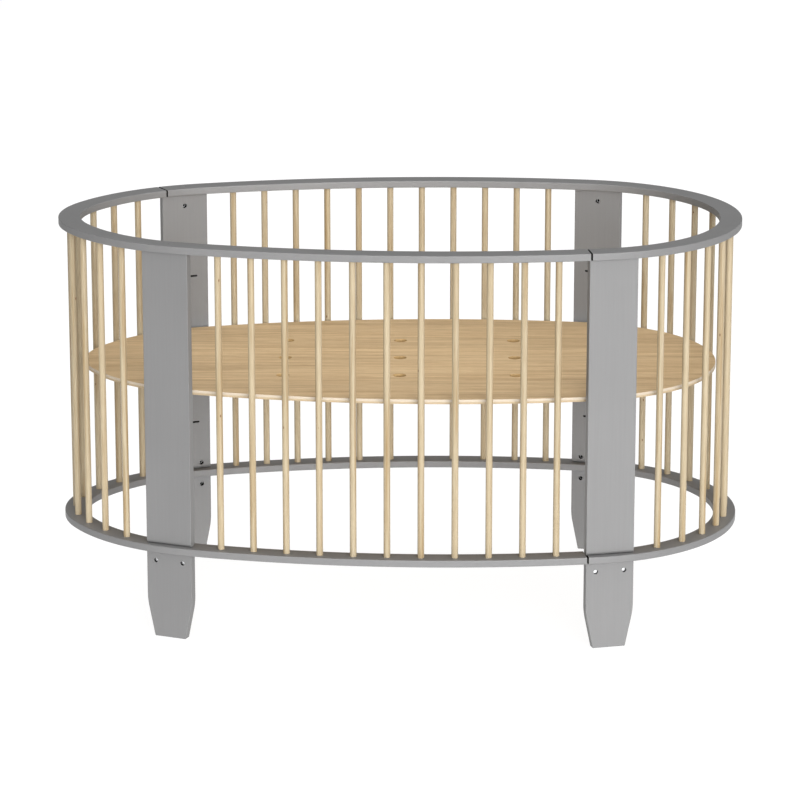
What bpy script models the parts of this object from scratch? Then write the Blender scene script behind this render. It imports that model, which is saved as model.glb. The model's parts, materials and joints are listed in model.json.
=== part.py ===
"""Oval baby crib: two egg-shaped rails, a round-bar fence between them, four flat posts on tapered
feet, and a plywood mattress base that rests on steel brackets and lifts out over the top rail.

Run with: blender --background --python part.py
Metres, +Z up, +X along the crib to its wide end, -Y towards the front.
The origin is on the floor, under the middle of the crib's length and width.
"""

import math

import bmesh
import bpy
from mathutils import Matrix, Vector

# Overall size
LENGTH = 1.300
HEIGHT = 0.760

# Outline of the rails' outer edge. Each half is four tangent arcs, from the narrow tip at -X to the
# wide end at +X: tip, shoulder, long side, end. The long side's centre follows from the tangency.
TIP_RADIUS = 0.222
TIP_ANGLE = math.radians(27.0)
SHOULDER_RADIUS = 0.368
SIDE_RADIUS = 1.730
END_RADIUS = 0.336
CHORD_ERROR = 0.00015

# Rails
RAIL_WIDTH = 0.042
RAIL_THICKNESS = 0.0135
BOTTOM_RAIL_TOP = 0.182
SEAM_GAP = 0.0018
SEAM_TO_POST = 0.044
SOCKET_DEPTH = 0.009
CENTRE_INSET = RAIL_WIDTH / 2

# Posts and feet are cut from one board. Stations are distances from the tip along the rails' middle.
POST_WIDTH = 0.0925
POST_THICKNESS = 0.016
LEFT_POST_STATION = 0.342
RIGHT_POST_STATION = 1.1725
BOARD_CHAMFER = 0.001
POST_END_ROUND = 0.006
POST_END_STEPS = 3
FOOT_BOTTOM_WIDTH = 0.063
FOOT_TAPER_HEIGHT = 0.070
FOOT_BEND_REACH = 0.014
FOOT_BEND_STEPS = 4

# Bolt holes in posts and feet
BOLT_HOLE_RADIUS = 0.004
BOLT_HOLE_SIDES = 12
BOLT_SPACING = 0.055
POST_HOLE_DEPTH = 0.012
POST_LOW_HOLE_RISE = 0.012
POST_TOP_HOLE_DROP = 0.0235
FOOT_HOLE_DROP = 0.019

# Base height slots in the posts' inner faces
SLOT_HEIGHTS = (0.280, 0.430, 0.580)
SLOT_LENGTH = 0.048
SLOT_HEIGHT = 0.0036
SLOT_DEPTH = 0.012
SLOT_IN_USE = 1

# Bars
BAR_RADIUS = 0.00625
BAR_SIDES = 16
POST_TO_FIRST_BAR = 0.1005
SIDE_BARS = 11
LEFT_BARS = 9
RIGHT_BARS = 11
SOCKET_SIDES = 12

# Mattress base
BASE_TOP = 0.479
BASE_THICKNESS = 0.009
BASE_CLEARANCE = 0.0025
VENT_RADIUS = 0.012
VENT_SIDES = 24
VENT_PITCH_X = 0.2205
VENT_PITCH_Y = 0.134

# Base brackets, folded from steel strip: a tongue in the slot, a riser, and a shelf under the base
BRACKET_WIDTH = 0.044
BRACKET_STEEL = 0.0025
BRACKET_REACH = 0.040
BRACKET_STANDOFF = 0.006
TONGUE_DEPTH = 0.011

# Clearance between pieces that touch
GAP = 0.0003

# Colours are linear RGB.
GREY_PAINT = (0.200, 0.200, 0.200)
BEECH = (0.450, 0.345, 0.205)
PLYWOOD = (0.560, 0.410, 0.225)
ZINC = (0.600, 0.610, 0.620)


# ---------------------------------------------------------------- outline

def arc_centres():
    """Centres of the tip, shoulder, long side and end arcs of the back half."""
    tip = Vector((-LENGTH / 2 + TIP_RADIUS, 0.0))
    reach = SHOULDER_RADIUS - TIP_RADIUS
    shoulder = tip + reach * Vector((math.cos(TIP_ANGLE), -math.sin(TIP_ANGLE)))
    end = Vector((LENGTH / 2 - END_RADIUS, 0.0))
    # The long side touches the shoulder and the end arcs from outside, so its centre is where two
    # circles around their centres cross.
    from_shoulder = SIDE_RADIUS - SHOULDER_RADIUS
    from_end = SIDE_RADIUS - END_RADIUS
    line = end - shoulder
    along = (line.length_squared + from_shoulder**2 - from_end**2) / (2 * line.length)
    across = math.sqrt(from_shoulder**2 - along**2)
    unit = line.normalized()
    side = shoulder + unit * along + Vector((unit.y, -unit.x)) * across
    return tip, shoulder, side, end


def half_arcs():
    """The back half from the tip to the wide end, as (centre, radius, start angle, end angle)."""
    tip, shoulder, side, end = arc_centres()
    to_shoulder = shoulder - side
    to_end = end - side
    shoulder_angle = math.pi - TIP_ANGLE
    side_start = math.atan2(to_shoulder.y, to_shoulder.x)
    side_stop = math.atan2(to_end.y, to_end.x)
    return (
        (tip, TIP_RADIUS, math.pi, shoulder_angle),
        (shoulder, SHOULDER_RADIUS, shoulder_angle, side_start),
        (side, SIDE_RADIUS, side_start, side_stop),
        (end, END_RADIUS, side_stop, 0.0),
    )


def half_length():
    """Length of the rails' middle line from the tip to the wide end."""
    return sum((radius - CENTRE_INSET) * (start - stop) for _, radius, start, stop in half_arcs())


def rail_point(station, outward=0.0):
    """The point at a station on the rails' middle line, moved outward, and the outward normal.

    Stations run from the tip along the back, round the wide end and back along the front."""
    half = half_length()
    front = station > half
    left = 2 * half - station if front else station
    for centre, radius, start, stop in half_arcs():
        middle = radius - CENTRE_INSET
        run = middle * (start - stop)
        if left <= run or stop == 0.0:
            angle = start - left / middle
            break
        left -= run
    normal = Vector((math.cos(angle), math.sin(angle)))
    point = centre + normal * (middle + outward)
    if front:
        point.y = -point.y
        normal.y = -normal.y
    return point, normal


def arc_stations():
    """Stations that divide the whole outline finely enough for its curvature."""
    stations = [0.0]
    for _, radius, start, stop in half_arcs():
        step = 2 * math.acos(1 - CHORD_ERROR / radius)
        count = math.ceil((start - stop) / step)
        run = (radius - CENTRE_INSET) * (start - stop)
        first = stations[-1]
        stations += [first + run * i / count for i in range(1, count + 1)]
    whole = 2 * half_length()
    return stations + [whole - s for s in reversed(stations[1:-1])]


def stations_between(first, last):
    """First, last and the arc stations between them. Last may be past the tip."""
    whole = 2 * half_length()
    margin = 0.004
    inner = [s + lap for lap in (0.0, whole) for s in arc_stations()]
    return [first] + [s for s in inner if first + margin < s < last - margin] + [last]


# ---------------------------------------------------------------- modelling helpers

def clear_scene():
    for obj in list(bpy.data.objects):
        bpy.data.objects.remove(obj)


def new_collection(name):
    collection = bpy.data.collections.new(name)
    bpy.context.scene.collection.children.link(collection)
    return collection


def new_material(name, colour, roughness, metallic=0.0):
    material = bpy.data.materials.new(name)
    material.use_nodes = True
    shader = material.node_tree.nodes["Principled BSDF"]
    shader.inputs["Base Color"].default_value = (*colour, 1.0)
    shader.inputs["Roughness"].default_value = roughness
    shader.inputs["Metallic"].default_value = metallic
    material.diffuse_color = (*colour, 1.0)
    return material


def add_object(name, mesh, collection):
    obj = bpy.data.objects.new(name, mesh)
    collection.objects.link(obj)
    return obj


def prism(name, outline, depth):
    """A mesh of a flat outline in XY, extruded from 0 to depth in Z."""
    curve = bpy.data.curves.new(name, "CURVE")
    curve.dimensions = "2D"
    curve.fill_mode = "BOTH"
    curve.extrude = depth / 2
    spline = curve.splines.new("POLY")
    spline.points.add(len(outline) - 1)
    for point, (x, y) in zip(spline.points, outline):
        point.co = (x, y, 0.0, 1.0)
    spline.use_cyclic_u = True
    holder = add_object(name, curve, bpy.context.scene.collection)
    bpy.context.view_layer.update()
    evaluated = holder.evaluated_get(bpy.context.evaluated_depsgraph_get())
    mesh = bpy.data.meshes.new_from_object(evaluated)
    bpy.data.objects.remove(holder)
    mesh.transform(Matrix.Translation((0.0, 0.0, depth / 2)))
    weld(mesh)
    return mesh


def weld(mesh):
    """Joins the loose caps of a mesh made from a curve, and turns its faces outward."""
    work = bmesh.new()
    work.from_mesh(mesh)
    bmesh.ops.remove_doubles(work, verts=work.verts, dist=0.00001)
    bmesh.ops.recalc_face_normals(work, faces=work.faces)
    work.to_mesh(mesh)
    work.free()


def rod(work, radius, low, high, sides, matrix=None):
    """Adds a closed cylinder along Z, from low to high, to a bmesh."""
    place = Matrix.Translation((0.0, 0.0, (low + high) / 2))
    if matrix is not None:
        place = matrix @ place
    bmesh.ops.create_cone(
        work, cap_ends=True, segments=sides, radius1=radius, radius2=radius,
        depth=high - low, matrix=place,
    )


def box(work, low, high):
    """Adds a box between two corners to a bmesh."""
    middle = (Vector(low) + Vector(high)) / 2
    size = Vector(high) - Vector(low)
    place = Matrix.Translation(middle) @ Matrix.Diagonal((*size, 1.0))
    bmesh.ops.create_cube(work, size=1.0, matrix=place)


def mesh_of(name, work):
    mesh = bpy.data.meshes.new(name)
    work.to_mesh(mesh)
    work.free()
    return mesh


def make_cutter(name, mesh, collection):
    cutter = add_object(name, mesh, collection)
    cutter.hide_render = True
    cutter.display_type = "WIRE"
    return cutter


def cut(obj, cutter):
    modifier = obj.modifiers.new("cut_" + cutter.name, "BOOLEAN")
    modifier.operation = "DIFFERENCE"
    modifier.solver = "EXACT"
    modifier.object = cutter


def chamfer(obj, width):
    modifier = obj.modifiers.new("chamfer", "BEVEL")
    modifier.width = width
    modifier.segments = 1
    modifier.limit_method = "ANGLE"
    modifier.angle_limit = math.radians(40)


def evaluated_mesh(obj, name):
    """A mesh with the object's modifiers applied. The object is removed."""
    bpy.context.view_layer.update()
    evaluated = obj.evaluated_get(bpy.context.evaluated_depsgraph_get())
    mesh = bpy.data.meshes.new_from_object(evaluated)
    mesh.name = name
    bpy.data.objects.remove(obj)
    return mesh


def smooth(mesh):
    mesh.shade_smooth()
    mesh.set_sharp_from_angle(angle=math.radians(35))


# ---------------------------------------------------------------- pieces

def rail_outline(first, last):
    """Plan outline of a length of rail: along the outer edge and back along the inner one."""
    stations = stations_between(first, last)
    outer = [rail_point(wrapped(s), CENTRE_INSET)[0] for s in stations]
    inner = [rail_point(wrapped(s), -CENTRE_INSET)[0] for s in stations]
    return outer + inner[::-1]


def wrapped(station):
    whole = 2 * half_length()
    return station - whole if station > whole else station


def seam_stations():
    """The seam at the back left post and the one at the front right post."""
    whole = 2 * half_length()
    back_left = LEFT_POST_STATION - SEAM_TO_POST
    front_right = whole - (RIGHT_POST_STATION - SEAM_TO_POST)
    return back_left, front_right


def make_ring(level, bottom, sockets, material, collection):
    """A rail ring in two lengths that meet at the seams, with a blind socket for each bar."""
    whole = 2 * half_length()
    back_left, front_right = seam_stations()
    lengths = (
        ("back_right", back_left, front_right),
        ("front_left", front_right, back_left + whole),
    )
    for side, first, last in lengths:
        name = f"{level}_rail_{side}"
        outline = rail_outline(first + SEAM_GAP / 2, last - SEAM_GAP / 2)
        rail = add_object(name, prism(name, outline, RAIL_THICKNESS), collection)
        rail.location.z = bottom
        rail.data.materials.append(material)
        cut(rail, sockets)


def bar_stations():
    """Station of each bar by name. Bars are evenly spaced between neighbouring posts."""
    half = half_length()
    whole = 2 * half
    left_run = (-LEFT_POST_STATION, LEFT_POST_STATION, LEFT_BARS, "left_bar")
    back_run = (LEFT_POST_STATION, RIGHT_POST_STATION, SIDE_BARS, "back_bar")
    right_run = (RIGHT_POST_STATION, whole - RIGHT_POST_STATION, RIGHT_BARS, "right_bar")
    front_run = (whole - RIGHT_POST_STATION, whole - LEFT_POST_STATION, SIDE_BARS, "front_bar")
    stations = {}
    for start, stop, count, name in (left_run, back_run, right_run, front_run):
        first = start + POST_TO_FIRST_BAR
        pitch = (stop - POST_TO_FIRST_BAR - first) / (count - 1)
        for i in range(count):
            station = first + i * pitch
            stations[f"{name}_{i + 1:02d}"] = station % whole
    return stations


def socket_cutter(name, low, high, collection):
    """One cutter with a short rod at each bar, a little wider than the bar."""
    radius = (BAR_RADIUS + GAP) / math.cos(math.pi / SOCKET_SIDES)
    work = bmesh.new()
    for station in bar_stations().values():
        point, _ = rail_point(station)
        rod(work, radius, low, high, SOCKET_SIDES, Matrix.Translation((*point, 0.0)))
    return make_cutter(name, mesh_of(name, work), collection)


def make_bars(material, collection):
    low = BOTTOM_RAIL_TOP - SOCKET_DEPTH + GAP
    high = HEIGHT - RAIL_THICKNESS + SOCKET_DEPTH - GAP
    work = bmesh.new()
    rod(work, BAR_RADIUS, 0.0, high - low, BAR_SIDES)
    mesh = mesh_of("bar", work)
    smooth(mesh)
    mesh.materials.append(material)
    for name, station in bar_stations().items():
        point, _ = rail_point(station)
        bar = add_object(name, mesh, collection)
        bar.location = (*point, low)


def post_places():
    """Each post's place: its middle on the rails' middle line, with +Y turned outward."""
    whole = 2 * half_length()
    stations = {
        "back_left": LEFT_POST_STATION,
        "back_right": RIGHT_POST_STATION,
        "front_right": whole - RIGHT_POST_STATION,
        "front_left": whole - LEFT_POST_STATION,
    }
    places = {}
    for name, station in stations.items():
        point, normal = rail_point(station)
        places[name] = (point, math.atan2(-normal.x, normal.y))
    return places


def place_on_posts(prefix, mesh, height, collection):
    """A copy of the mesh at each post, its local origin at the post's middle at this height."""
    for name, (point, turn) in post_places().items():
        obj = add_object(f"{prefix}_{name}", mesh, collection)
        obj.location = (*point, height)
        obj.rotation_euler.z = turn


def post_outline():
    """End view of a post, as (outward, height): both faces round in at its lower end."""
    low = BOTTOM_RAIL_TOP + GAP
    half = POST_THICKNESS / 2
    outer = [(half, HEIGHT - RAIL_THICKNESS - GAP)]
    for i in range(POST_END_STEPS + 1):
        angle = 0.5 * math.pi * i / POST_END_STEPS
        y = half - POST_END_ROUND * (1 - math.cos(angle))
        outer.append((y, low + POST_END_ROUND * (1 - math.sin(angle))))
    return outer + [(-y, z) for y, z in reversed(outer)]


def post_mesh(material, cutters):
    """A post with its height slots and bolt holes, standing on the bottom rail.

    Local Z is measured from the floor, +Y is the outer face."""
    half_thick = POST_THICKNESS / 2
    mesh = prism("post", post_outline(), POST_WIDTH)
    # The outline's X becomes Y, its Y becomes Z, and its depth becomes X.
    turn = Matrix(((0, 0, 1, 0), (1, 0, 0, 0), (0, 1, 0, 0), (0, 0, 0, 1)))
    mesh.transform(turn @ Matrix.Translation((0.0, 0.0, -POST_WIDTH / 2)))
    post = add_object("post", mesh, cutters)
    post.data.materials.append(material)
    chamfer(post, BOARD_CHAMFER)

    work = bmesh.new()
    for height in SLOT_HEIGHTS:
        box(
            work,
            (-SLOT_LENGTH / 2, -half_thick - SLOT_DEPTH, height - SLOT_HEIGHT / 2),
            (SLOT_LENGTH / 2, -half_thick + SLOT_DEPTH, height + SLOT_HEIGHT / 2),
        )
    low_hole = BOTTOM_RAIL_TOP + POST_LOW_HOLE_RISE
    top_hole = HEIGHT - RAIL_THICKNESS - POST_TOP_HOLE_DROP
    for x, z in ((-BOLT_SPACING / 2, low_hole), (BOLT_SPACING / 2, low_hole), (0.0, top_hole)):
        across = Matrix.Translation((x, -half_thick, z)) @ Matrix.Rotation(math.pi / 2, 4, "X")
        rod(work, BOLT_HOLE_RADIUS, -POST_HOLE_DEPTH, POST_HOLE_DEPTH, BOLT_HOLE_SIDES, across)
    cutter = make_cutter("post_cutter", mesh_of("post_cutter", work), cutters)
    cut(post, cutter)
    return evaluated_mesh(post, "post")


def foot_outline():
    """Front view of a foot: upright sides that bend, through an arc, into a straight taper."""
    top = BOTTOM_RAIL_TOP - RAIL_THICKNESS - GAP
    half_top = POST_WIDTH / 2
    half_bottom = FOOT_BOTTOM_WIDTH / 2
    bend = math.atan2(half_top - half_bottom, FOOT_TAPER_HEIGHT)
    radius = FOOT_BEND_REACH / math.tan(bend / 2)
    right = [(half_top, top)]
    for i in range(FOOT_BEND_STEPS + 1):
        angle = bend * i / FOOT_BEND_STEPS
        x = half_top - radius * (1 - math.cos(angle))
        right.append((x, FOOT_TAPER_HEIGHT + FOOT_BEND_REACH - radius * math.sin(angle)))
    right.append((half_bottom, 0.0))
    return right + [(-x, z) for x, z in reversed(right)]


def foot_mesh(material, cutters):
    """A tapered foot with two bolt holes through it. Local Z is from the floor."""
    mesh = prism("foot", foot_outline(), POST_THICKNESS)
    mesh.transform(
        Matrix.Translation((0.0, POST_THICKNESS / 2, 0.0)) @ Matrix.Rotation(math.pi / 2, 4, "X")
    )
    foot = add_object("foot", mesh, cutters)
    foot.data.materials.append(material)
    chamfer(foot, BOARD_CHAMFER)

    height = BOTTOM_RAIL_TOP - RAIL_THICKNESS - FOOT_HOLE_DROP
    work = bmesh.new()
    for x in (-BOLT_SPACING / 2, BOLT_SPACING / 2):
        across = Matrix.Translation((x, 0.0, height)) @ Matrix.Rotation(math.pi / 2, 4, "X")
        rod(work, BOLT_HOLE_RADIUS, -POST_THICKNESS, POST_THICKNESS, BOLT_HOLE_SIDES, across)
    cutter = make_cutter("foot_cutter", mesh_of("foot_cutter", work), cutters)
    cut(foot, cutter)
    return evaluated_mesh(foot, "foot")


def make_base(material, collection, cutters):
    """The mattress base: a plywood plate of the rails' inner shape with rows of vent holes."""
    inset = CENTRE_INSET + BASE_CLEARANCE
    outline = [rail_point(s, -inset)[0] for s in arc_stations()[:-1]]
    mesh = prism("mattress_base", outline, BASE_THICKNESS)
    base = add_object("mattress_base", mesh, collection)
    base.location.z = BASE_TOP - BASE_THICKNESS
    base.data.materials.append(material)

    work = bmesh.new()
    for column in (-1, 0, 1):
        for row in (-1, 0, 1):
            spot = Matrix.Translation((column * VENT_PITCH_X, row * VENT_PITCH_Y, BASE_TOP))
            rod(work, VENT_RADIUS, -2 * BASE_THICKNESS, BASE_THICKNESS, VENT_SIDES, spot)
    cut(base, make_cutter("vent_cutter", mesh_of("vent_cutter", work), cutters))


def bracket_mesh(material):
    """A base bracket: tongue in the slot, riser along the post, shelf under the base.

    Local Z is from the slot's height. The outline runs in the post's -Y, its inner side."""
    face = POST_THICKNESS / 2
    back = face - TONGUE_DEPTH
    riser = face + BRACKET_STANDOFF
    shelf_end = riser + BRACKET_REACH
    shelf_top = BASE_TOP - BASE_THICKNESS - GAP - SLOT_HEIGHTS[SLOT_IN_USE]
    half = BRACKET_STEEL / 2
    profile = [
        (back, -half),
        (riser + BRACKET_STEEL, -half),
        (riser + BRACKET_STEEL, shelf_top - BRACKET_STEEL),
        (shelf_end, shelf_top - BRACKET_STEEL),
        (shelf_end, shelf_top),
        (riser, shelf_top),
        (riser, half),
        (back, half),
    ]
    mesh = prism("bracket", profile, BRACKET_WIDTH)
    # The profile's X becomes -Y and its Y becomes Z.
    turn = Matrix(((0, 0, 1, 0), (-1, 0, 0, 0), (0, 1, 0, 0), (0, 0, 0, 1)))
    mesh.transform(turn @ Matrix.Translation((0.0, 0.0, -BRACKET_WIDTH / 2)))
    mesh.flip_normals()
    weld(mesh)
    mesh.materials.append(material)
    return mesh


def build():
    clear_scene()
    crib = new_collection("baby_crib")
    cutters = new_collection("cutters")

    paint = new_material("grey_paint", GREY_PAINT, 0.50)
    beech = new_material("natural_wood", BEECH, 0.55)
    plywood = new_material("plywood", PLYWOOD, 0.60)
    zinc = new_material("zinc_steel", ZINC, 0.35, 1.0)

    top_low = HEIGHT - RAIL_THICKNESS
    top_sockets = socket_cutter(
        "top_sockets", top_low - SOCKET_DEPTH, top_low + SOCKET_DEPTH, cutters
    )
    bottom_sockets = socket_cutter(
        "bottom_sockets", BOTTOM_RAIL_TOP - SOCKET_DEPTH, BOTTOM_RAIL_TOP + SOCKET_DEPTH, cutters
    )
    make_ring("top", top_low, top_sockets, paint, crib)
    make_ring("bottom", BOTTOM_RAIL_TOP - RAIL_THICKNESS, bottom_sockets, paint, crib)
    make_bars(beech, crib)
    place_on_posts("post", post_mesh(paint, cutters), 0.0, crib)
    place_on_posts("foot", foot_mesh(paint, cutters), 0.0, crib)
    make_base(plywood, crib, cutters)
    place_on_posts("base_bracket", bracket_mesh(zinc), SLOT_HEIGHTS[SLOT_IN_USE], crib)

    whole = bpy.data.objects.new("baby_crib", None)
    crib.objects.link(whole)
    for obj in list(crib.objects):
        if obj is not whole:
            obj.parent = whole


build()
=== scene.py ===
"""Looks of the oval baby crib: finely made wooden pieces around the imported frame, studio and camera.

Metres, in the frame's own axes: +X to the crib's wide end, -Y to the front, +Z up.
"""

import json
import math

import bmesh
import bpy
from mathutils import Matrix, Vector


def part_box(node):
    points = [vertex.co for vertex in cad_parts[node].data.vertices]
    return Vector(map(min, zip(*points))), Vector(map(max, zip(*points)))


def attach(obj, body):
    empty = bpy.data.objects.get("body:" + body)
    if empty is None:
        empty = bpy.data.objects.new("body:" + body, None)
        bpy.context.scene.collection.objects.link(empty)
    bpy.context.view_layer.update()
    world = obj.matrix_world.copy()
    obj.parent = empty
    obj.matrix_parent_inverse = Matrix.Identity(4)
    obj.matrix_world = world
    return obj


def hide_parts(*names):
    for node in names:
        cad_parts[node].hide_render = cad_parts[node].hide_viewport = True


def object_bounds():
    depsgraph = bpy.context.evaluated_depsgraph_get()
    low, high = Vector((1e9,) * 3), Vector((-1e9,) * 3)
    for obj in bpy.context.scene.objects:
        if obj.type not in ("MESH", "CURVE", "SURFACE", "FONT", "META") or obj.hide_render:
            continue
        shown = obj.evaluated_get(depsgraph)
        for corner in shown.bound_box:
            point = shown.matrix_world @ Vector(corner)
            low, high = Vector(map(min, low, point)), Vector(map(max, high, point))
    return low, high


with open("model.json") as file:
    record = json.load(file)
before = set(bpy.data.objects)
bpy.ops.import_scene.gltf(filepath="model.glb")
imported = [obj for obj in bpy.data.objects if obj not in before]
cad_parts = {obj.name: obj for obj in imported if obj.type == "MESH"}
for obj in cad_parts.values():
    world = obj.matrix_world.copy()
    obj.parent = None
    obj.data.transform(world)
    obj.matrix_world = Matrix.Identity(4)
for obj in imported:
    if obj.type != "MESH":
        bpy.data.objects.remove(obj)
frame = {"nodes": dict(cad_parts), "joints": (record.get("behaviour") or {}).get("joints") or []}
CAD_BOX = [list(corner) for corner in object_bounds()]

LENGTH = CAD_BOX[1][0] - CAD_BOX[0][0]
CORNERS = ("front_left", "front_right", "back_left", "back_right")

# Camera
CAMERA_PLACE = (0.0517, -7.0044, 2.2812)
CAMERA_DOWN = math.radians(15.075)
CAMERA_TURN = math.radians(0.424)
CAMERA_LENS = 169.28

# Outline of the rails' outer edge, as the frame's rails have it: each half is four tangent arcs.
TIP_RADIUS = 0.222
TIP_ANGLE = math.radians(27.0)
SHOULDER_RADIUS = 0.368
SIDE_RADIUS = 1.730
END_RADIUS = 0.336
RAIL_WIDTH = 0.042
HALF_RAIL = RAIL_WIDTH / 2
SECTION_STEP = 0.006

# Rails, in two lengths that meet at seams beside two of the posts
SEAM_GAP = 0.0018
SEAM_TO_POST = 0.044
LEFT_POST_STATION = 0.342
RIGHT_POST_STATION = 1.1725
END_EASE = 0.0008
END_EASE_STEPS = 3
RAIL_EDGE = 0.0014
SOCKET_DEPTH = 0.009
SOCKET_SLACK = 0.0002
SOCKET_MOUTH = 0.0003
PLUG_HOLE_RADIUS = 0.0060
PLUG_HOLE_DEPTH = 0.0016
PLUG_RADIUS = PLUG_HOLE_RADIUS - 0.00015
PLUG_BOTTOM = -PLUG_HOLE_DEPTH + 0.0001
PLUG_TOP = -0.0002

# Posts and feet
BOARD_WIDTH = 0.0925
BOARD_THICKNESS = 0.016
BOARD_EDGE = 0.001
POST_END_ROUND = 0.006
POST_END_STEPS = 8
FOOT_BOTTOM_WIDTH = 0.063
FOOT_TAPER_HEIGHT = 0.070
FOOT_BEND_REACH = 0.014
FOOT_BEND_STEPS = 12
SLOT_HEIGHTS = (0.280, 0.430, 0.580)
SLOT_LENGTH = 0.048
SLOT_HEIGHT = 0.0036
SLOT_DEPTH = 0.012
SLOT_END_STEPS = 8
HOLE_RADIUS = 0.004
HOLE_MOUTH = 0.0004
HOLE_SPACING = 0.055
HOLE_DEPTH = 0.012
LOW_HOLE_RISE = 0.0117
TOP_HOLE_DROP = 0.0232
FOOT_HOLE_DROP = 0.0187

# Bars
BAR_SIDES = 40
BAR_END_ROUND = 0.0012
BAR_END_STEPS = 4

# Mattress base
BASE_CLEARANCE = 0.0025
BASE_EDGE = 0.0009
BASE_EDGE_STEPS = 4
PLIES = 7
VENT_RADIUS = 0.012
VENT_MOUTH = 0.0008
VENT_SIDES = 48
VENT_PITCH_X = 0.2205
VENT_PITCH_Y = 0.134

# Base brackets, folded from steel strip
STEEL = 0.0025
BRACKET_WIDTH = 0.044
BRACKET_REACH = 0.040
BRACKET_STANDOFF = 0.006
TONGUE_DEPTH = 0.011
FOLD_RADIUS = 0.0012
SHELF_CORNER = 0.006
BRACKET_EDGE = 0.0003

# Barrel nuts
NUT_RADIUS = 0.0038
NUT_LENGTH = 0.0034
NUT_EASE = 0.0004
NUT_SOCKET = 0.0029
NUT_SOCKET_DEPTH = 0.0028
FOOT_NUT_RECESS = 0.0045
POST_NUT_RECESS = 0.0085

# Meshes
ROUND_SIDES = 32
CUT_OVERSHOOT = 0.002
WELD_DISTANCE = 0.000002
BEVEL_ANGLE = math.radians(35)
SHARP_ANGLE = math.radians(32)
NORMAL_WEIGHT = 90
LEVEL_NORMAL = 0.9
SAME_PLACE = 1e-6


# ---------------------------------------------------------------- outline

def half_arcs():
    """The back half from the tip to the wide end, as (centre, radius, start angle, end angle)."""
    tip = Vector((-LENGTH / 2 + TIP_RADIUS, 0.0))
    reach = SHOULDER_RADIUS - TIP_RADIUS
    shoulder = tip + reach * Vector((math.cos(TIP_ANGLE), -math.sin(TIP_ANGLE)))
    end = Vector((LENGTH / 2 - END_RADIUS, 0.0))
    from_shoulder = SIDE_RADIUS - SHOULDER_RADIUS
    from_end = SIDE_RADIUS - END_RADIUS
    line = end - shoulder
    along = (line.length_squared + from_shoulder**2 - from_end**2) / (2 * line.length)
    across = math.sqrt(from_shoulder**2 - along**2)
    unit = line.normalized()
    side = shoulder + unit * along + Vector((unit.y, -unit.x)) * across
    shoulder_angle = math.pi - TIP_ANGLE
    side_start = math.atan2(shoulder.y - side.y, shoulder.x - side.x)
    side_stop = math.atan2(end.y - side.y, end.x - side.x)
    return (
        (tip, TIP_RADIUS, math.pi, shoulder_angle),
        (shoulder, SHOULDER_RADIUS, shoulder_angle, side_start),
        (side, SIDE_RADIUS, side_start, side_stop),
        (end, END_RADIUS, side_stop, 0.0),
    )


HALF_ARCS = half_arcs()
HALF_LENGTH = sum((radius - HALF_RAIL) * (start - stop) for _, radius, start, stop in HALF_ARCS)
WHOLE_LENGTH = 2 * HALF_LENGTH


def rail_point(station, outward=0.0):
    """The point at a station on the rails' middle line, moved outward.

    Stations run from the tip along the back, round the wide end and back along the front."""
    station = station % WHOLE_LENGTH
    front = station > HALF_LENGTH
    left = WHOLE_LENGTH - station if front else station
    for centre, radius, start, stop in HALF_ARCS:
        middle = radius - HALF_RAIL
        run = middle * (start - stop)
        if left <= run or stop == 0.0:
            angle = start - left / middle
            break
        left -= run
    point = centre + Vector((math.cos(angle), math.sin(angle))) * (middle + outward)
    return Vector((point.x, -point.y if front else point.y))


# ---------------------------------------------------------------- mesh helpers

def new_object(name, work):
    """An object from a bmesh, with its faces turned outward."""
    bmesh.ops.recalc_face_normals(work, faces=work.faces)
    mesh = bpy.data.meshes.new(name)
    work.to_mesh(mesh)
    work.free()
    obj = bpy.data.objects.new(name, mesh)
    bpy.context.scene.collection.objects.link(obj)
    return obj


def apply_modifiers(obj):
    bpy.context.view_layer.update()
    evaluated = obj.evaluated_get(bpy.context.evaluated_depsgraph_get())
    old = obj.data
    obj.data = bpy.data.meshes.new_from_object(evaluated)
    obj.modifiers.clear()
    bpy.data.meshes.remove(old)


def carve(obj, cutter):
    """Cuts the cutter out of the object for good, and removes the cutter."""
    modifier = obj.modifiers.new("carve", "BOOLEAN")
    modifier.operation = "DIFFERENCE"
    modifier.object = cutter
    apply_modifiers(obj)
    bpy.data.objects.remove(cutter)


def weld(obj):
    """Merges vertices that lie on each other."""
    work = bmesh.new()
    work.from_mesh(obj.data)
    bmesh.ops.remove_doubles(work, verts=work.verts, dist=WELD_DISTANCE)
    work.to_mesh(obj.data)
    work.free()


def ease_edges(obj, width, segments=3):
    modifier = obj.modifiers.new("edges", "BEVEL")
    modifier.width = width
    modifier.segments = segments
    modifier.limit_method = "ANGLE"
    modifier.angle_limit = BEVEL_ANGLE
    apply_modifiers(obj)


def shade(obj):
    """Smooth shading that keeps flat faces flat beside their rounded edges."""
    obj.data.shade_smooth()
    obj.data.set_sharp_from_angle(angle=SHARP_ANGLE)
    modifier = obj.modifiers.new("normals", "WEIGHTED_NORMAL")
    modifier.weight = NORMAL_WEIGHT
    modifier.keep_sharp = True


def plate(work, outline, low, high):
    """Adds a plate with this XY outline from low to high."""
    face = work.faces.new([work.verts.new((x, y, low)) for x, y in outline])
    grown = bmesh.ops.extrude_face_region(work, geom=[face])["geom"]
    top = [v for v in grown if isinstance(v, bmesh.types.BMVert)]
    bmesh.ops.translate(work, verts=top, vec=(0.0, 0.0, high - low))


def lathe(work, profile, sides, matrix):
    """Adds a turned solid about Z. The profile is (radius, height), closed by flat end faces."""
    rings = []
    for radius, height in profile:
        ring = []
        for i in range(sides):
            angle = 2 * math.pi * i / sides
            point = Vector((radius * math.cos(angle), radius * math.sin(angle), height))
            ring.append(work.verts.new(matrix @ point))
        rings.append(ring)
    join_rings(work, rings)


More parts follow.
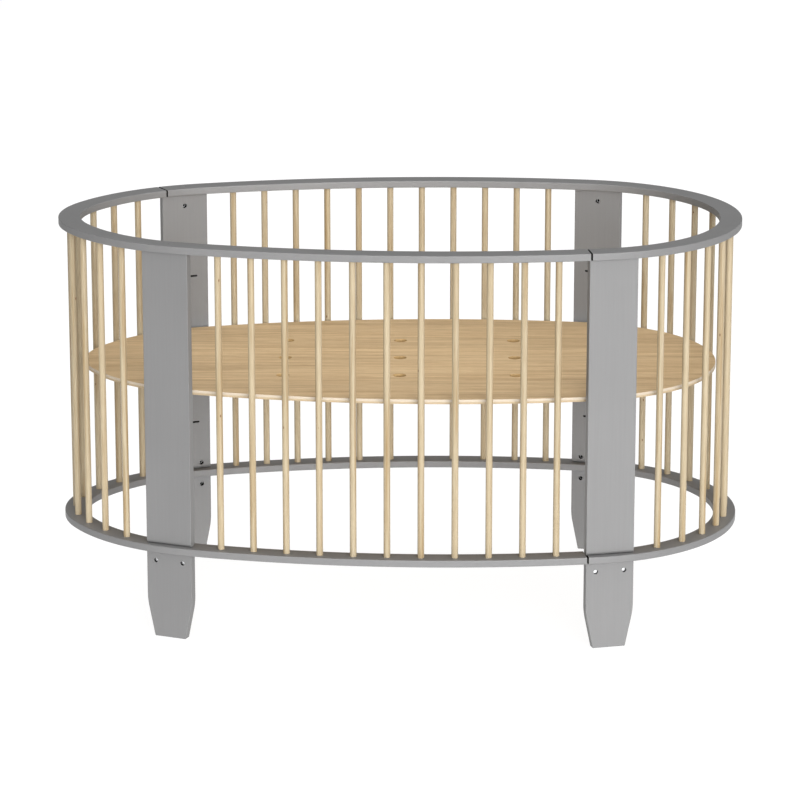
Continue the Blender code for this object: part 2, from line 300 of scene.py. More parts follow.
def join_rings(work, rings):
    """Skins a run of equal closed rings and closes both ends."""
    count = len(rings[0])
    for near, far in zip(rings, rings[1:]):
        for i in range(count):
            j = (i + 1) % count
            work.faces.new((near[i], near[j], far[j], far[i]))
    work.faces.new(rings[0][::-1])
    work.faces.new(rings[-1])


def rounded_section(half_width, low, high, radius, steps=4):
    """A rounded rectangle as points (outward, height)."""
    corners = (
        (half_width - radius, high - radius, 0.0),
        (-half_width + radius, high - radius, 0.5 * math.pi),
        (-half_width + radius, low + radius, math.pi),
        (half_width - radius, low + radius, 1.5 * math.pi),
    )
    points = []
    for across, height, start in corners:
        for i in range(steps + 1):
            angle = start + 0.5 * math.pi * i / steps
            points.append((across + radius * math.cos(angle), height + radius * math.sin(angle)))
    return points


def mouth_profile(radius, mouth, depth):
    """A drill that leaves a small chamfer at the mouth, which is at height 0."""
    return [(radius, -depth), (radius, -mouth), (radius + mouth, 0.0), (radius + 2 * mouth, mouth)]


def corner_place(corner, node):
    """A corner's frame: origin at the board's middle on the floor, +Y outward, +Z up."""
    low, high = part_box(node)
    middle = (low + high) / 2
    joint = next(j for j in frame["joints"] if j["name"] == f"bracket_slide_{corner}")
    inward = Vector(joint["axis"])
    turn = math.atan2(inward.x, -inward.y)
    return Matrix.Translation((middle.x, middle.y, 0.0)) @ Matrix.Rotation(turn, 4, "Z")


def across_board(x, y, z, inner_side):
    """Places a drill or a nut in a board: its +Z points out of the inner or the outer face."""
    tilt = math.pi / 2 if inner_side else -math.pi / 2
    return Matrix.Translation((x, y, z)) @ Matrix.Rotation(tilt, 4, "X")


def two_finishes(obj, main, second, is_second):
    """Gives an object two materials, the second on the faces that pass the test."""
    obj.data.materials.append(main)
    obj.data.materials.append(second)
    for face in obj.data.polygons:
        face.material_index = 1 if is_second(face) else 0


def finish_piece(obj, body, slot, material, *nodes):
    """Gives a piece its material and its body, and hides the CAD nodes it stands for. Its slot
    argument is not used.
    """
    if not obj.data.materials:
        obj.data.materials.append(material)
    if nodes:
        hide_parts(*nodes)
    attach(obj, body)


# ---------------------------------------------------------------- material helpers

class Nodes:
    """A material's node tree, with short calls for the nodes that these materials share."""

    def __init__(self, name, metallic=0.0):
        self.material = bpy.data.materials.new(name)
        self.material.use_nodes = True
        self.tree = self.material.node_tree
        self.shader = self.tree.nodes["Principled BSDF"]
        self.shader.inputs["Metallic"].default_value = metallic
        self.place = self.tree.nodes.new("ShaderNodeTexCoord").outputs["Object"]

    def link(self, source, target):
        self.tree.links.new(source, target)

    def stretched(self, scale):
        """Object coordinates, scaled by a different amount along each axis."""
        node = self.tree.nodes.new("ShaderNodeMapping")
        node.inputs["Scale"].default_value = scale
        self.link(self.place, node.inputs["Vector"])
        return node.outputs["Vector"]

    def noise(self, scale, detail=3.0, distortion=0.0):
        node = self.tree.nodes.new("ShaderNodeTexNoise")
        node.inputs["Scale"].default_value = 1.0
        node.inputs["Detail"].default_value = detail
        node.inputs["Distortion"].default_value = distortion
        self.link(self.stretched(scale), node.inputs["Vector"])
        return node.outputs["Fac"]

    def ramp(self, value, *stops):
        """Maps a value to colours or greys: stops are (position, colour)."""
        node = self.tree.nodes.new("ShaderNodeValToRGB")
        elements = node.color_ramp.elements
        while len(elements) < len(stops):
            elements.new(0.5)
        for element, (position, colour) in zip(elements, stops):
            element.position = position
            element.color = (*colour, 1.0)
        self.link(value, node.inputs["Fac"])
        return node.outputs["Color"]

    def mix(self, factor, first, second, blend="MIX"):
        """Mixes two colours. A factor or colour is a socket or a constant."""
        node = self.tree.nodes.new("ShaderNodeMix")
        node.data_type = "RGBA"
        node.blend_type = blend
        sockets = (node.inputs[0], node.inputs[6], node.inputs[7])
        for socket, value in zip(sockets, (factor, first, second)):
            if isinstance(value, bpy.types.NodeSocket):
                self.link(value, socket)
            elif isinstance(value, tuple):
                socket.default_value = (*value, 1.0)
            else:
                socket.default_value = value
        return node.outputs[2]

    def math(self, operation, first, second=0.0):
        node = self.tree.nodes.new("ShaderNodeMath")
        node.operation = operation
        for socket, value in zip(node.inputs, (first, second)):
            if isinstance(value, bpy.types.NodeSocket):
                self.link(value, socket)
            else:
                socket.default_value = value
        return node.outputs["Value"]

    def fit(self, value, low, high, interpolation="LINEAR"):
        """Maps 0..1 to low..high."""
        node = self.tree.nodes.new("ShaderNodeMapRange")
        node.interpolation_type = interpolation
        node.inputs["To Min"].default_value = low
        node.inputs["To Max"].default_value = high
        self.link(value, node.inputs["Value"])
        return node.outputs["Result"]

    def bump(self, height, depth, strength=1.0):
        node = self.tree.nodes.new("ShaderNodeBump")
        node.inputs["Strength"].default_value = strength
        node.inputs["Distance"].default_value = depth
        self.link(height, node.inputs["Height"])
        self.link(node.outputs["Normal"], self.shader.inputs["Normal"])

    def colour(self, socket):
        self.link(socket, self.shader.inputs["Base Color"])

    def roughness(self, value):
        """Sets the roughness to a constant, or links it to a socket."""
        if isinstance(value, bpy.types.NodeSocket):
            self.link(value, self.shader.inputs["Roughness"])
        else:
            self.shader.inputs["Roughness"].default_value = value

    def specular(self, level):
        self.shader.inputs["Specular IOR Level"].default_value = level


def tint(colour, factor):
    return tuple(min(1.0, c * factor) for c in colour)


def knots(nodes, scale, size, share):
    """A mask of small scattered knots: 1 in a knot's middle, on only this share of the cells."""
    cells = nodes.tree.nodes.new("ShaderNodeTexVoronoi")
    cells.inputs["Scale"].default_value = 1.0
    nodes.link(nodes.stretched(scale), cells.inputs["Vector"])
    near = nodes.math("LESS_THAN", cells.outputs["Distance"], size)
    split = nodes.tree.nodes.new("ShaderNodeSeparateColor")
    nodes.link(cells.outputs["Color"], split.inputs["Color"])
    chosen = nodes.math("LESS_THAN", split.outputs["Red"], share)
    return nodes.math("MULTIPLY", near, chosen)


# ---------------------------------------------------------------- materials

PAINT = (0.153, 0.152, 0.152)
BAR_WOOD = (0.385, 0.328, 0.234)
BAR_STREAK = (0.300, 0.222, 0.122)
BAR_HONEY = (0.96, 0.90, 0.80)
BAR_KNOT = (0.16, 0.085, 0.040)
VENEER = (0.610, 0.440, 0.246)
PLY_EDGE = (0.545, 0.465, 0.360)
VENT_EDGE = (0.430, 0.280, 0.115)
ZINC = (0.620, 0.630, 0.640)
BRIGHT_ZINC = (0.860, 0.870, 0.880)
# Painted shade: near-black for the insides of slots, bolt holes, nut sockets and rail seams
PAINTED_SHADE_LOW = (0.003, 0.003, 0.003)
PAINTED_SHADE_HIGH = (0.008, 0.008, 0.007)
WHITE = (1.0, 1.0, 1.0)

PAINT_ROUGHNESS = (0.46, 0.56)
BAR_ROUGHNESS = (0.46, 0.62)
VENEER_ROUGHNESS = (0.44, 0.60)
ZINC_ROUGHNESS = (0.26, 0.44)
BOARD_GRAIN = (260.0, 260.0, 7.0)
RAIL_GRAIN = (60.0, 60.0, 60.0)


def paint(name, grain):
    """Satin grey paint. Grain is the scale of the fibres that show faintly through it."""
    nodes = Nodes(name)
    cloud = nodes.noise((7.0, 7.0, 7.0), detail=3.0)
    fibre = nodes.noise(grain, detail=4.0)
    peel = nodes.noise((900.0, 900.0, 900.0), detail=1.0)
    base = nodes.ramp(cloud, (0.30, tint(PAINT, 0.97)), (0.70, tint(PAINT, 1.03)))
    faint = nodes.ramp(fibre, (0.35, (0.965, 0.965, 0.965)), (0.65, WHITE))
    nodes.colour(nodes.mix(1.0, base, faint, "MULTIPLY"))
    nodes.roughness(nodes.fit(cloud, *PAINT_ROUGHNESS))
    relief = nodes.math("ADD", nodes.math("MULTIPLY", fibre, 0.6), peel)
    nodes.bump(relief, depth=0.00004, strength=0.5)
    nodes.specular(0.65)
    return nodes.material


def make_recess_shade():
    """Painted shade: a near-black finish inside slots, bolt holes, nut sockets and rail seams,
    standing in for the shade in these deep, narrow hollows.
    """
    nodes = Nodes("recess_painted_shade")
    nodes.roughness(0.95)
    fibre = nodes.noise((500.0, 500.0, 500.0), detail=3.0)
    nodes.colour(nodes.ramp(fibre, (0.35, PAINTED_SHADE_LOW), (0.65, PAINTED_SHADE_HIGH)))
    nodes.bump(fibre, depth=0.0001, strength=0.5)
    nodes.specular(0.05)
    return nodes.material


def bar_wood():
    """Clear lacquered light wood, turned to bars: long streaks, fine pores and a few knots."""
    nodes = Nodes("natural_wood")
    streak = nodes.noise((150.0, 150.0, 3.0), detail=3.0, distortion=0.4)
    pore = nodes.noise((900.0, 900.0, 22.0), detail=2.0)
    tone = nodes.noise((9.0, 9.0, 0.4), detail=1.0)
    wood = nodes.ramp(
        streak,
        (0.28, BAR_STREAK),
        (0.48, BAR_WOOD),
        (0.74, tint(BAR_WOOD, 1.12)),
    )
    toned = nodes.mix(nodes.fit(tone, 0.0, 0.9), wood, BAR_HONEY, "MULTIPLY")
    fine = nodes.ramp(pore, (0.40, (0.88, 0.85, 0.80)), (0.58, WHITE))
    grained = nodes.mix(1.0, toned, fine, "MULTIPLY")
    spots = knots(nodes, (60.0, 60.0, 26.0), size=0.075, share=0.22)
    nodes.colour(nodes.mix(spots, grained, BAR_KNOT))
    nodes.roughness(nodes.fit(pore, *BAR_ROUGHNESS))
    nodes.bump(nodes.math("ADD", streak, pore), depth=0.00006, strength=0.5)
    nodes.specular(0.25)
    return nodes.material


def veneer():
    """The base's top veneer, lacquered, its grain along the crib's length."""
    nodes = Nodes("plywood")
    band = nodes.noise((1.3, 26.0, 1.0), detail=4.0, distortion=0.6)
    streak = nodes.noise((5.0, 190.0, 1.0), detail=4.0, distortion=0.3)
    pore = nodes.noise((40.0, 1500.0, 1.0), detail=2.0)
    wood = nodes.ramp(
        band,
        (0.30, tint(VENEER, 0.90)),
        (0.52, VENEER),
        (0.72, tint(VENEER, 1.08)),
    )
    lines = nodes.ramp(streak, (0.34, (0.68, 0.62, 0.54)), (0.56, WHITE))
    fine = nodes.ramp(pore, (0.36, (0.80, 0.76, 0.70)), (0.54, WHITE))
    nodes.colour(nodes.mix(1.0, nodes.mix(0.8, wood, lines, "MULTIPLY"), fine, "MULTIPLY"))
    nodes.roughness(nodes.fit(streak, *VENEER_ROUGHNESS))
    nodes.bump(nodes.math("ADD", streak, pore), depth=0.00008, strength=0.5)
    return nodes.material


def ply_edge(name, wood, low, plies, thickness):
    """A cut edge of the base: plies and glue lines, pale above and golden in the lower plies."""
    nodes = Nodes(name)
    nodes.roughness(0.60)
    split = nodes.tree.nodes.new("ShaderNodeSeparateXYZ")
    nodes.link(nodes.place, split.inputs["Vector"])
    height = nodes.math("SUBTRACT", split.outputs["Z"], low)
    ply = nodes.math("DIVIDE", height, thickness / plies)
    odd = nodes.math("GREATER_THAN", nodes.math("PINGPONG", ply, 1.0), 0.5)
    glue = nodes.math("LESS_THAN", nodes.math("FRACT", nodes.math("ADD", ply, 0.08)), 0.13)
    fibre = nodes.noise((700.0, 700.0, 350.0), detail=3.0)
    light = nodes.ramp(fibre, (0.35, tint(wood, 0.88)), (0.65, tint(wood, 1.05)))
    plied = nodes.mix(odd, light, tint(wood, 0.90))
    glued = nodes.mix(glue, plied, tint(wood, 0.70))
    share = nodes.math("DIVIDE", height, thickness)
    # Darker and more golden towards the bottom of the edge
    darker_below = nodes.ramp(share, (0.35, (0.80, 0.72, 0.58)), (0.60, WHITE))
    nodes.colour(nodes.mix(1.0, glued, darker_below, "MULTIPLY"))
    nodes.bump(fibre, depth=0.0001, strength=0.5)
    return nodes.material


def zinc(name, colour):
    """Zinc plated steel with a fine rolled texture."""
    nodes = Nodes(name, metallic=1.0)
    rolled = nodes.noise((60.0, 60.0, 1400.0), detail=3.0)
    bloom = nodes.noise((260.0, 260.0, 260.0), detail=3.0)
    nodes.colour(nodes.ramp(bloom, (0.35, tint(colour, 0.86)), (0.65, tint(colour, 1.06))))
    nodes.roughness(nodes.fit(rolled, *ZINC_ROUGHNESS))
    nodes.bump(rolled, depth=0.00002, strength=0.4)
    return nodes.material


# ---------------------------------------------------------------- rails

def rail_sections(first, last, low, high):
    """Sections of a rail from one end to the other, drawn in a little towards each end face."""
    count = math.ceil((last - first) / SECTION_STEP)
    sections = []
    for i in range(END_EASE_STEPS + 1):
        angle = 0.5 * math.pi * i / END_EASE_STEPS
        sections.append((END_EASE * (1 - math.cos(angle)), END_EASE * (1 - math.sin(angle))))
    start = [(first + advance, inset) for advance, inset in sections]
    stop = [(last - advance, inset) for advance, inset in reversed(sections)]
    run = (last - first) / count
    middle = [(first + i * run, 0.0) for i in range(1, count)]
    rings = []
    for station, inset in start + middle + stop:
        section = rounded_section(
            HALF_RAIL - inset, low + inset, high - inset, RAIL_EDGE - inset / 2
        )
        rings.append([(*rail_point(station, outward), z) for outward, z in section])
    return rings


def bar_nodes():
    return sorted(n for n in frame["nodes"] if "_bar_" in n)


def socket_cutter(mouth, upward):
    """A blind socket for each bar at this height, open upward or downward."""
    work = bmesh.new()
    flip = Matrix.Identity(4) if upward else Matrix.Rotation(math.pi, 4, "X")
    for name in bar_nodes():
        low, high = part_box(name)
        middle = (low + high) / 2
        radius = (high.x - low.x) / 2 + SOCKET_SLACK
        place = Matrix.Translation((middle.x, middle.y, mouth)) @ flip
        lathe(work, mouth_profile(radius, SOCKET_MOUTH, SOCKET_DEPTH), BAR_SIDES, place)
    return new_object("socket_cutter", work)


def plug_cutter(top):
    work = bmesh.new()
    for corner in CORNERS:
        place = corner_place(corner, f"post_{corner}") @ Matrix.Translation((0.0, 0.0, top))
        profile = mouth_profile(PLUG_HOLE_RADIUS, SOCKET_MOUTH, PLUG_HOLE_DEPTH)
        lathe(work, profile, ROUND_SIDES, place)
    return new_object("plug_cutter", work)


def make_rails(material, painted_shade):
    """Both rings, painted, with painted shade on the eased end faces at the seams."""
    back_left = LEFT_POST_STATION - SEAM_TO_POST
    front_right = WHOLE_LENGTH - (RIGHT_POST_STATION - SEAM_TO_POST)
    spans = (
        ("back_right", back_left, front_right),
        ("front_left", front_right, back_left + WHOLE_LENGTH),
    )
    for level in ("top", "bottom"):
        for side, first, last in spans:
            node = f"{level}_rail_{side}"
            low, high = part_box(node)
            work = bmesh.new()
            rings = rail_sections(first + SEAM_GAP / 2, last - SEAM_GAP / 2, low.z, high.z)
            join_rings(work, [[work.verts.new(p) for p in ring] for ring in rings])
            rail = new_object(f"{node}_finished", work)
            first_end = (END_EASE_STEPS + 1) * len(rings[0])
            last_end = (len(rings) - END_EASE_STEPS - 1) * len(rings[0])
            # Painted shade on the end faces at the seams, for the shade in the narrow gaps
            two_finishes(
                rail, material, painted_shade,
                lambda face: max(face.vertices) < first_end or min(face.vertices) >= last_end,
            )
            carve(rail, socket_cutter(*((low.z, False) if level == "top" else (high.z, True))))
            if level == "top":
                carve(rail, plug_cutter(high.z))
            shade(rail)
            finish_piece(rail, "frame", "grey_paint", material, node)


def make_plugs(material):
    """Flush plugs over the bolts in the top rail, with eased rims."""
    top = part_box("top_rail_back_right")[1].z
    profile = (
        (PLUG_RADIUS, PLUG_BOTTOM),
        (PLUG_RADIUS, PLUG_TOP - 0.0004),
        (PLUG_RADIUS - 0.0003, PLUG_TOP - 0.0001),
        (PLUG_RADIUS - 0.0008, PLUG_TOP),
    )
    for corner in CORNERS:
        place = corner_place(corner, f"post_{corner}") @ Matrix.Translation((0.0, 0.0, top))
        work = bmesh.new()
        lathe(work, profile, ROUND_SIDES, place)
        plug = new_object(f"bolt_plug_{corner}", work)
        shade(plug)
        finish_piece(plug, "frame", "grey_paint", material)


# ---------------------------------------------------------------- bars

def make_bars(material):
    for name in bar_nodes():
        low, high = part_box(name)
        middle = (low + high) / 2
        radius = (high.x - low.x) / 2
        half = (high.z - low.z) / 2
        profile = []
        steps = range(BAR_END_STEPS + 1)
        for side, order in ((-1, steps), (1, reversed(steps))):
            for i in order:
                angle = 0.5 * math.pi * i / BAR_END_STEPS
                across = radius - BAR_END_ROUND * (1 - math.sin(angle))
                profile.append((across, side * (half - BAR_END_ROUND * (1 - math.cos(angle)))))
        work = bmesh.new()
        lathe(work, profile, BAR_SIDES, Matrix.Translation(middle))
        bar = new_object(f"{name}_turned", work)
        shade(bar)
        finish_piece(bar, "frame", "natural_wood", material, name)


# ---------------------------------------------------------------- posts and feet

def slot_outline():
    """A milled slot with round ends."""
    radius = SLOT_HEIGHT / 2
    reach = SLOT_LENGTH / 2 - radius
    points = []
    for side, start in ((1, -0.5 * math.pi), (-1, 0.5 * math.pi)):
        for i in range(SLOT_END_STEPS + 1):
            angle = start + math.pi * i / SLOT_END_STEPS
            points.append((side * reach + radius * math.cos(angle), radius * math.sin(angle)))
    return points


def post_end_view(low, high):
    """The post seen along its width, as (outward, height): its lower end is rounded on both faces."""
    half = BOARD_THICKNESS / 2
    outer = [(half, high)]
    for i in range(POST_END_STEPS + 1):
        angle = 0.5 * math.pi * i / POST_END_STEPS
        y = half - POST_END_ROUND * (1 - math.cos(angle))
        outer.append((y, low + POST_END_ROUND * (1 - math.sin(angle))))
    return outer + [(-y, z) for y, z in reversed(outer)]


def post_cutter(low, high, material, painted_shade):
    """Height slots and bolt holes, cut from the post's inner face, with painted shade inside."""
    inner = -BOARD_THICKNESS / 2
    work = bmesh.new()
    for height in SLOT_HEIGHTS:
        slot = bmesh.new()
        plate(slot, slot_outline(), -SLOT_DEPTH, CUT_OVERSHOOT)
        slot.transform(across_board(0.0, inner, height, True))
        add_to(work, slot)
    holes = (
        (-HOLE_SPACING / 2, low + LOW_HOLE_RISE),
        (HOLE_SPACING / 2, low + LOW_HOLE_RISE),
        (0.0, high - TOP_HOLE_DROP),
    )
    for x, z in holes:
        profile = mouth_profile(HOLE_RADIUS, HOLE_MOUTH, HOLE_DEPTH)
        lathe(work, profile, ROUND_SIDES, across_board(x, inner, z, True))
    cutter = new_object("post_cutter", work)
    # Painted shade on the slots' and holes' insides, past their eased mouths
    two_finishes(cutter, material, painted_shade, lambda face: face.center.y > inner + HOLE_MOUTH)
    return cutter, holes


def add_to(work, other):
    """Moves another bmesh's geometry into this one."""
    mesh = bpy.data.meshes.new("part")
    other.to_mesh(mesh)
    other.free()
    work.from_mesh(mesh)
    bpy.data.meshes.remove(mesh)


def make_posts(material, painted_shade, metal):
    """Each post, with its slots, bolt holes and the nuts in them."""
    for corner in CORNERS:
        node = f"post_{corner}"
        low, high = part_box(node)
        work = bmesh.new()
        plate(work, post_end_view(low.z, high.z), -BOARD_WIDTH / 2, BOARD_WIDTH / 2)
        # The end view's outward axis becomes Y, its height Z and its depth X.
        work.transform(Matrix(((0, 0, 1, 0), (1, 0, 0, 0), (0, 1, 0, 0), (0, 0, 0, 1))))
        post = new_object(f"{node}_finished", work)
        ease_edges(post, BOARD_EDGE, 4)
        two_finishes(post, material, painted_shade, lambda face: False)
        cutter, holes = post_cutter(low.z, high.z, material, painted_shade)
        carve(post, cutter)
        place = corner_place(corner, node)
        post.data.transform(place)
        shade(post)
        finish_piece(post, "frame", "grey_paint", material, node)
        for i, (x, z) in enumerate(holes):
            depth = -BOARD_THICKNESS / 2 + POST_NUT_RECESS
            seat = place @ across_board(x, depth, z, True)
            make_nut(f"post_nut_{corner}_{i + 1}", seat, metal, painted_shade)


def foot_outline(top):
    """Upright sides, a soft bend and a straight taper to the floor, as (across, height)."""
    half_top = BOARD_WIDTH / 2
    half_bottom = FOOT_BOTTOM_WIDTH / 2
    bend = math.atan2(half_top - half_bottom, FOOT_TAPER_HEIGHT)
    radius = FOOT_BEND_REACH / math.tan(bend / 2)
    right = [(half_top, top)]
    for i in range(FOOT_BEND_STEPS + 1):
        angle = bend * i / FOOT_BEND_STEPS
        x = half_top - radius * (1 - math.cos(angle))
        right.append((x, FOOT_TAPER_HEIGHT + FOOT_BEND_REACH - radius * math.sin(angle)))
    right.append((half_bottom, 0.0))
    return right + [(-x, z) for x, z in reversed(right)]


def foot_cutter(height, material, painted_shade):
    """Bolt holes through the foot, eased at both faces, with painted shade on their walls."""
    work = bmesh.new()
    half = BOARD_THICKNESS / 2
    wide = HOLE_RADIUS + HOLE_MOUTH
    profile = (
        (wide, -half - HOLE_MOUTH),
        (wide, -half),
        (HOLE_RADIUS, -half + HOLE_MOUTH),
        (HOLE_RADIUS, half - HOLE_MOUTH),
        (wide, half),
        (wide, half + HOLE_MOUTH),
    )
    for x in (-HOLE_SPACING / 2, HOLE_SPACING / 2):
        lathe(work, profile, ROUND_SIDES, across_board(x, 0.0, height, True))
    cutter = new_object("foot_cutter", work)
    # Painted shade on the hole walls between the eased mouths
    two_finishes(cutter, material, painted_shade, lambda face: abs(face.center.y) < half - HOLE_MOUTH)
    return cutter


def make_feet(material, painted_shade, metal):
    """Each tapered foot, with its bolt holes and the nuts in them."""
    for corner in CORNERS:
        node = f"foot_{corner}"
        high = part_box(node)[1]
        work = bmesh.new()
        plate(work, foot_outline(high.z), -BOARD_THICKNESS / 2, BOARD_THICKNESS / 2)
        work.transform(Matrix.Rotation(math.pi / 2, 4, "X"))
        foot = new_object(f"{node}_finished", work)
        ease_edges(foot, BOARD_EDGE, 4)
        two_finishes(foot, material, painted_shade, lambda face: False)
        height = high.z - FOOT_HOLE_DROP
        carve(foot, foot_cutter(height, material, painted_shade))
        weld(foot)
        place = corner_place(corner, node)
        foot.data.transform(place)
        shade(foot)
        finish_piece(foot, "frame", "grey_paint", material, node)
        for i, x in enumerate((-HOLE_SPACING / 2, HOLE_SPACING / 2)):
            depth = BOARD_THICKNESS / 2 - FOOT_NUT_RECESS - NUT_LENGTH
            seat = place @ across_board(x, depth, height, True)
            make_nut(f"foot_nut_{corner}_{i + 1}", seat, metal, painted_shade)


def make_nut(name, seat, metal, painted_shade):
    """A barrel nut with eased ends. Its end with the hexagon socket, which has painted shade inside,
    is at the seat, facing +Z.
    """
    profile = (
        (NUT_RADIUS - NUT_EASE, -NUT_LENGTH),
        (NUT_RADIUS, -NUT_LENGTH + NUT_EASE),
        (NUT_RADIUS, -NUT_EASE),
        (NUT_RADIUS - NUT_EASE, 0.0),
    )
    work = bmesh.new()
    lathe(work, profile, ROUND_SIDES, Matrix.Identity(4))
    nut = new_object(name, work)
    two_finishes(nut, metal, painted_shade, lambda face: False)
    work = bmesh.new()
    hexagon = ((NUT_SOCKET, -NUT_SOCKET_DEPTH), (NUT_SOCKET, 0.001))
    lathe(work, hexagon, 6, Matrix.Identity(4))
    cutter = new_object("nut_cutter", work)
    # Painted shade inside the hexagon socket
    two_finishes(cutter, metal, painted_shade, lambda face: True)
    carve(nut, cutter)
    nut.data.transform(seat)
    shade(nut)
    finish_piece(nut, "frame", "zinc_steel", metal)


# ---------------------------------------------------------------- base and brackets

def make_base(top_material, edge_material, vent_material):
    """The mattress base: the rails' outline drawn in, with eased edges and nine round vents."""
    low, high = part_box("mattress_base")
    count = math.ceil(WHOLE_LENGTH / SECTION_STEP)
    stations = [WHOLE_LENGTH * i / count for i in range(count)]
    rings = []
    inset = HALF_RAIL + BASE_CLEARANCE
    steps = range(BASE_EDGE_STEPS + 1)
    for side, order in ((-1, steps), (1, reversed(steps))):
        for i in order:
            angle = 0.5 * math.pi * i / BASE_EDGE_STEPS
            inward = inset + BASE_EDGE * (1 - math.sin(angle))
            drop = BASE_EDGE * (1 - math.cos(angle))
            z = low.z + drop if side < 0 else high.z - drop
            rings.append([(*rail_point(s, -inward), z) for s in stations])
    work = bmesh.new()
    join_rings(work, [[work.verts.new(p) for p in ring] for ring in rings])
    base = new_object("mattress_base_finished", work)

    work = bmesh.new()
    wide = VENT_RADIUS + VENT_MOUTH
    profile = (
        (wide, low.z - VENT_MOUTH),
        (wide, low.z),
        (VENT_RADIUS, low.z + VENT_MOUTH),
        (VENT_RADIUS, high.z - VENT_MOUTH),
        (wide, high.z),
        (wide, high.z + VENT_MOUTH),
    )
    vents = [
        Vector((column * VENT_PITCH_X, row * VENT_PITCH_Y))
        for column in (-1, 0, 1) for row in (-1, 0, 1)
    ]
    for vent in vents:
        lathe(work, profile, VENT_SIDES, Matrix.Translation((*vent, 0.0)))
    carve(base, new_object("vent_cutter", work))
    base.data.materials.clear()
    for material in (top_material, edge_material, vent_material):
        base.data.materials.append(material)
    for face in base.data.polygons:
        if abs(face.normal.z) > LEVEL_NORMAL:
            face.material_index = 0
        elif min((face.center.xy - vent).length for vent in vents) < 2 * VENT_RADIUS:
            face.material_index = 2
        else:
            face.material_index = 1
    shade(base)
    finish_piece(base, "mattress_base", "plywood", top_material, "mattress_base")


def strip_outline(path, thickness, radius, steps=5):
    """The outline of a folded strip, whose upper side follows the path, with round folds.

    The path's turns are right angles. Points are (along, height)."""
    sides = []
    for offset in (0.0, thickness):
        line = []
        for i, point in enumerate(path):
            before = (path[i] - path[i - 1]).normalized() if i else None
            after = (path[i + 1] - path[i]).normalized() if i + 1 < len(path) else None
            if before is None or after is None:
                way = after if before is None else before
                line.append(point + Vector((way.y, -way.x)) * offset)
                continue
            turn = before.x * after.y - before.y * after.x
            # A left turn's centre lies on the path's left, which is the upper side.
            bend = radius + thickness if turn < 0 else radius
            centre = point + (after - before) * bend
            arm = bend + (offset if turn > 0 else -offset)
            for step in range(steps + 1):
                angle = 0.5 * math.pi * step / steps
                line.append(centre - (after * math.cos(angle) - before * math.sin(angle)) * arm)
        sides.append(line)
    return sides[0] + sides[1][::-1]


def make_brackets(material):
    """Each bracket: a tongue in the post's slot, a riser, and a shelf under the base."""
    for corner in CORNERS:
        node = f"base_bracket_{corner}"
        low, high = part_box(node)
        face = BOARD_THICKNESS / 2
        riser = face + BRACKET_STANDOFF
        path = (
            Vector((face - TONGUE_DEPTH, low.z + STEEL)),
            Vector((riser, low.z + STEEL)),
            Vector((riser, high.z)),
            Vector((riser + BRACKET_REACH, high.z)),
        )
        work = bmesh.new()
        plate(work, strip_outline(path, STEEL, FOLD_RADIUS), -BRACKET_WIDTH / 2, BRACKET_WIDTH / 2)
        # The strip's length becomes -Y, its height +Z and its width X.
        work.transform(Matrix(((0, 0, 1, 0), (-1, 0, 0, 0), (0, 1, 0, 0), (0, 0, 0, 1))))
        bracket = new_object(f"{node}_folded", work)
        round_shelf(bracket, -riser - BRACKET_REACH)
        ease_edges(bracket, BRACKET_EDGE, 2)
        bracket.data.transform(corner_place(corner, f"post_{corner}"))
        shade(bracket)
        finish_piece(bracket, node, "zinc_steel", material, node)


def round_shelf(bracket, tip):
    """Rounds the shelf's two free corners in plan."""
    work = bmesh.new()
    work.from_mesh(bracket.data)
    corners = [
        edge for edge in work.edges
        if all(abs(v.co.y - tip) < SAME_PLACE for v in edge.verts)
        and abs(edge.verts[0].co.x - edge.verts[1].co.x) < SAME_PLACE
    ]
    bmesh.ops.bevel(work, geom=corners, offset=SHELF_CORNER, segments=6, profile=0.5, affect="EDGES")
    work.to_mesh(bracket.data)
    work.free()


# ---------------------------------------------------------------- studio

# The floor's own glow: white on the sweep, fading beyond its edges at the sides and the front
FLOOR_SIZE = 120.0
SWEEP_GLOW = 0.92
FLOOR_GLOW = 0.50
SWEEP_HALF_WIDTH = 1.3
SWEEP_FRONT = 1.3
FLOOR_TONES = ((0.12, 0.12, 0.12), (0.14, 0.14, 0.14))

# The dome: an even fill, and a band of light round the horizon
FILL = 0.05
HORIZON = 0.60
HORIZON_POWER = 16.0

# Soft lobes of light, as (direction, power, strength)
OVERHEAD = ((0.0, 0.0, 1.0), 4.0, 2.45)
KEY = ((0.22, -0.97, 0.09), 18.0, 21.0)
SIDE = ((0.95, -0.30, 0.10), 3.0, 0.50)


def make_world():
    """Soft dome: lobes overhead, at the front and at the right, and a pale horizon all round."""
    world = bpy.data.worlds.new("studio")
    bpy.context.scene.world = world
    world.use_nodes = True
    tree = world.node_tree
    direction = tree.nodes.new("ShaderNodeTexCoord").outputs["Generated"]

    def calc(operation, first, second):
        node = tree.nodes.new("ShaderNodeMath")
        node.operation = operation
        for socket, value in zip(node.inputs, (first, second)):
            if isinstance(value, bpy.types.NodeSocket):
                tree.links.new(value, socket)
            else:
                socket.default_value = value
        return node.outputs["Value"]

    def lobe(axis, power, strength):
        node = tree.nodes.new("ShaderNodeVectorMath")
        node.operation = "DOT_PRODUCT"
        tree.links.new(direction, node.inputs[0])
        node.inputs[1].default_value = Vector(axis).normalized()
        facing = calc("MAXIMUM", node.outputs["Value"], 0.0)
        return calc("MULTIPLY", calc("POWER", facing, power), strength)

    split = tree.nodes.new("ShaderNodeSeparateXYZ")
    tree.links.new(direction, split.inputs["Vector"])
    level = calc("SUBTRACT", 1.0, calc("ABSOLUTE", split.outputs["Z"], 0.0))
    total = calc("MULTIPLY", calc("POWER", level, HORIZON_POWER), HORIZON - FILL)
    total = calc("ADD", total, FILL)
    for light in (OVERHEAD, KEY, SIDE):
        total = calc("ADD", total, lobe(*light))
    background = tree.nodes["Background"]
    background.inputs["Color"].default_value = (1.0, 1.0, 1.0, 1.0)
    tree.links.new(total, background.inputs["Strength"])


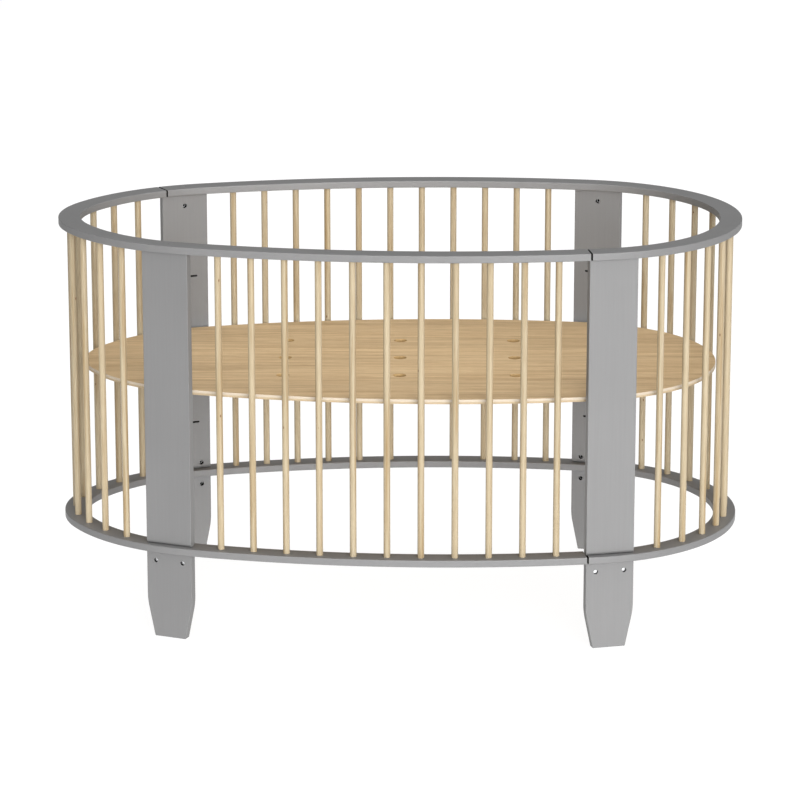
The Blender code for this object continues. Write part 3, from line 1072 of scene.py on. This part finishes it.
def make_floor():
    """A white sweep under and behind the crib, fading over a metre to a pale grey floor."""
    work = bmesh.new()
    bmesh.ops.create_grid(work, x_segments=1, y_segments=1, size=FLOOR_SIZE / 2)
    floor = new_object("floor", work)
    nodes = Nodes("studio_floor")
    nodes.roughness(0.9)
    cloud = nodes.noise((0.6, 0.6, 0.6), detail=2.0)
    nodes.colour(nodes.ramp(cloud, (0.3, FLOOR_TONES[0]), (0.7, FLOOR_TONES[1])))
    nodes.specular(0.1)
    nodes.shader.inputs["Emission Color"].default_value = (1.0, 1.0, 1.0, 1.0)
    split = nodes.tree.nodes.new("ShaderNodeSeparateXYZ")
    nodes.link(nodes.place, split.inputs["Vector"])
    beside = nodes.math("SUBTRACT", nodes.math("ABSOLUTE", split.outputs["X"]), SWEEP_HALF_WIDTH)
    before = nodes.math("SUBTRACT", -SWEEP_FRONT, split.outputs["Y"])
    glow = nodes.fit(nodes.math("MAXIMUM", beside, before), SWEEP_GLOW, FLOOR_GLOW, "SMOOTHSTEP")
    nodes.link(glow, nodes.shader.inputs["Emission Strength"])
    floor.data.materials.append(nodes.material)


def make_camera():
    data = bpy.data.cameras.new("camera")
    data.sensor_width = 36.0
    data.lens = CAMERA_LENS
    data.clip_end = 200.0
    camera = bpy.data.objects.new("camera", data)
    bpy.context.scene.collection.objects.link(camera)
    camera.location = CAMERA_PLACE
    camera.rotation_euler = (math.pi / 2 - CAMERA_DOWN, 0.0, CAMERA_TURN)
    bpy.context.scene.camera = camera


make_camera()
bpy.context.scene.view_settings.view_transform = "Standard"
make_world()
make_floor()

steel = zinc("zinc_steel", ZINC)
nut_metal = zinc("bright_zinc", BRIGHT_ZINC)
board_paint = paint("grey_paint_board", BOARD_GRAIN)
rail_paint = paint("grey_paint", RAIL_GRAIN)
# Painted shade for the insides of slots, bolt holes, nut sockets and rail seams
recess_shade = make_recess_shade()
base_low, base_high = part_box("mattress_base")

make_rails(rail_paint, recess_shade)
make_plugs(rail_paint)
make_bars(bar_wood())
make_posts(board_paint, recess_shade, nut_metal)
make_feet(board_paint, recess_shade, nut_metal)
make_base(
    veneer(),
    ply_edge("plywood_edge", PLY_EDGE, base_low.z, PLIES, base_high.z - base_low.z),
    ply_edge("plywood_vent", VENT_EDGE, base_low.z, PLIES, base_high.z - base_low.z),
)
make_brackets(steel)
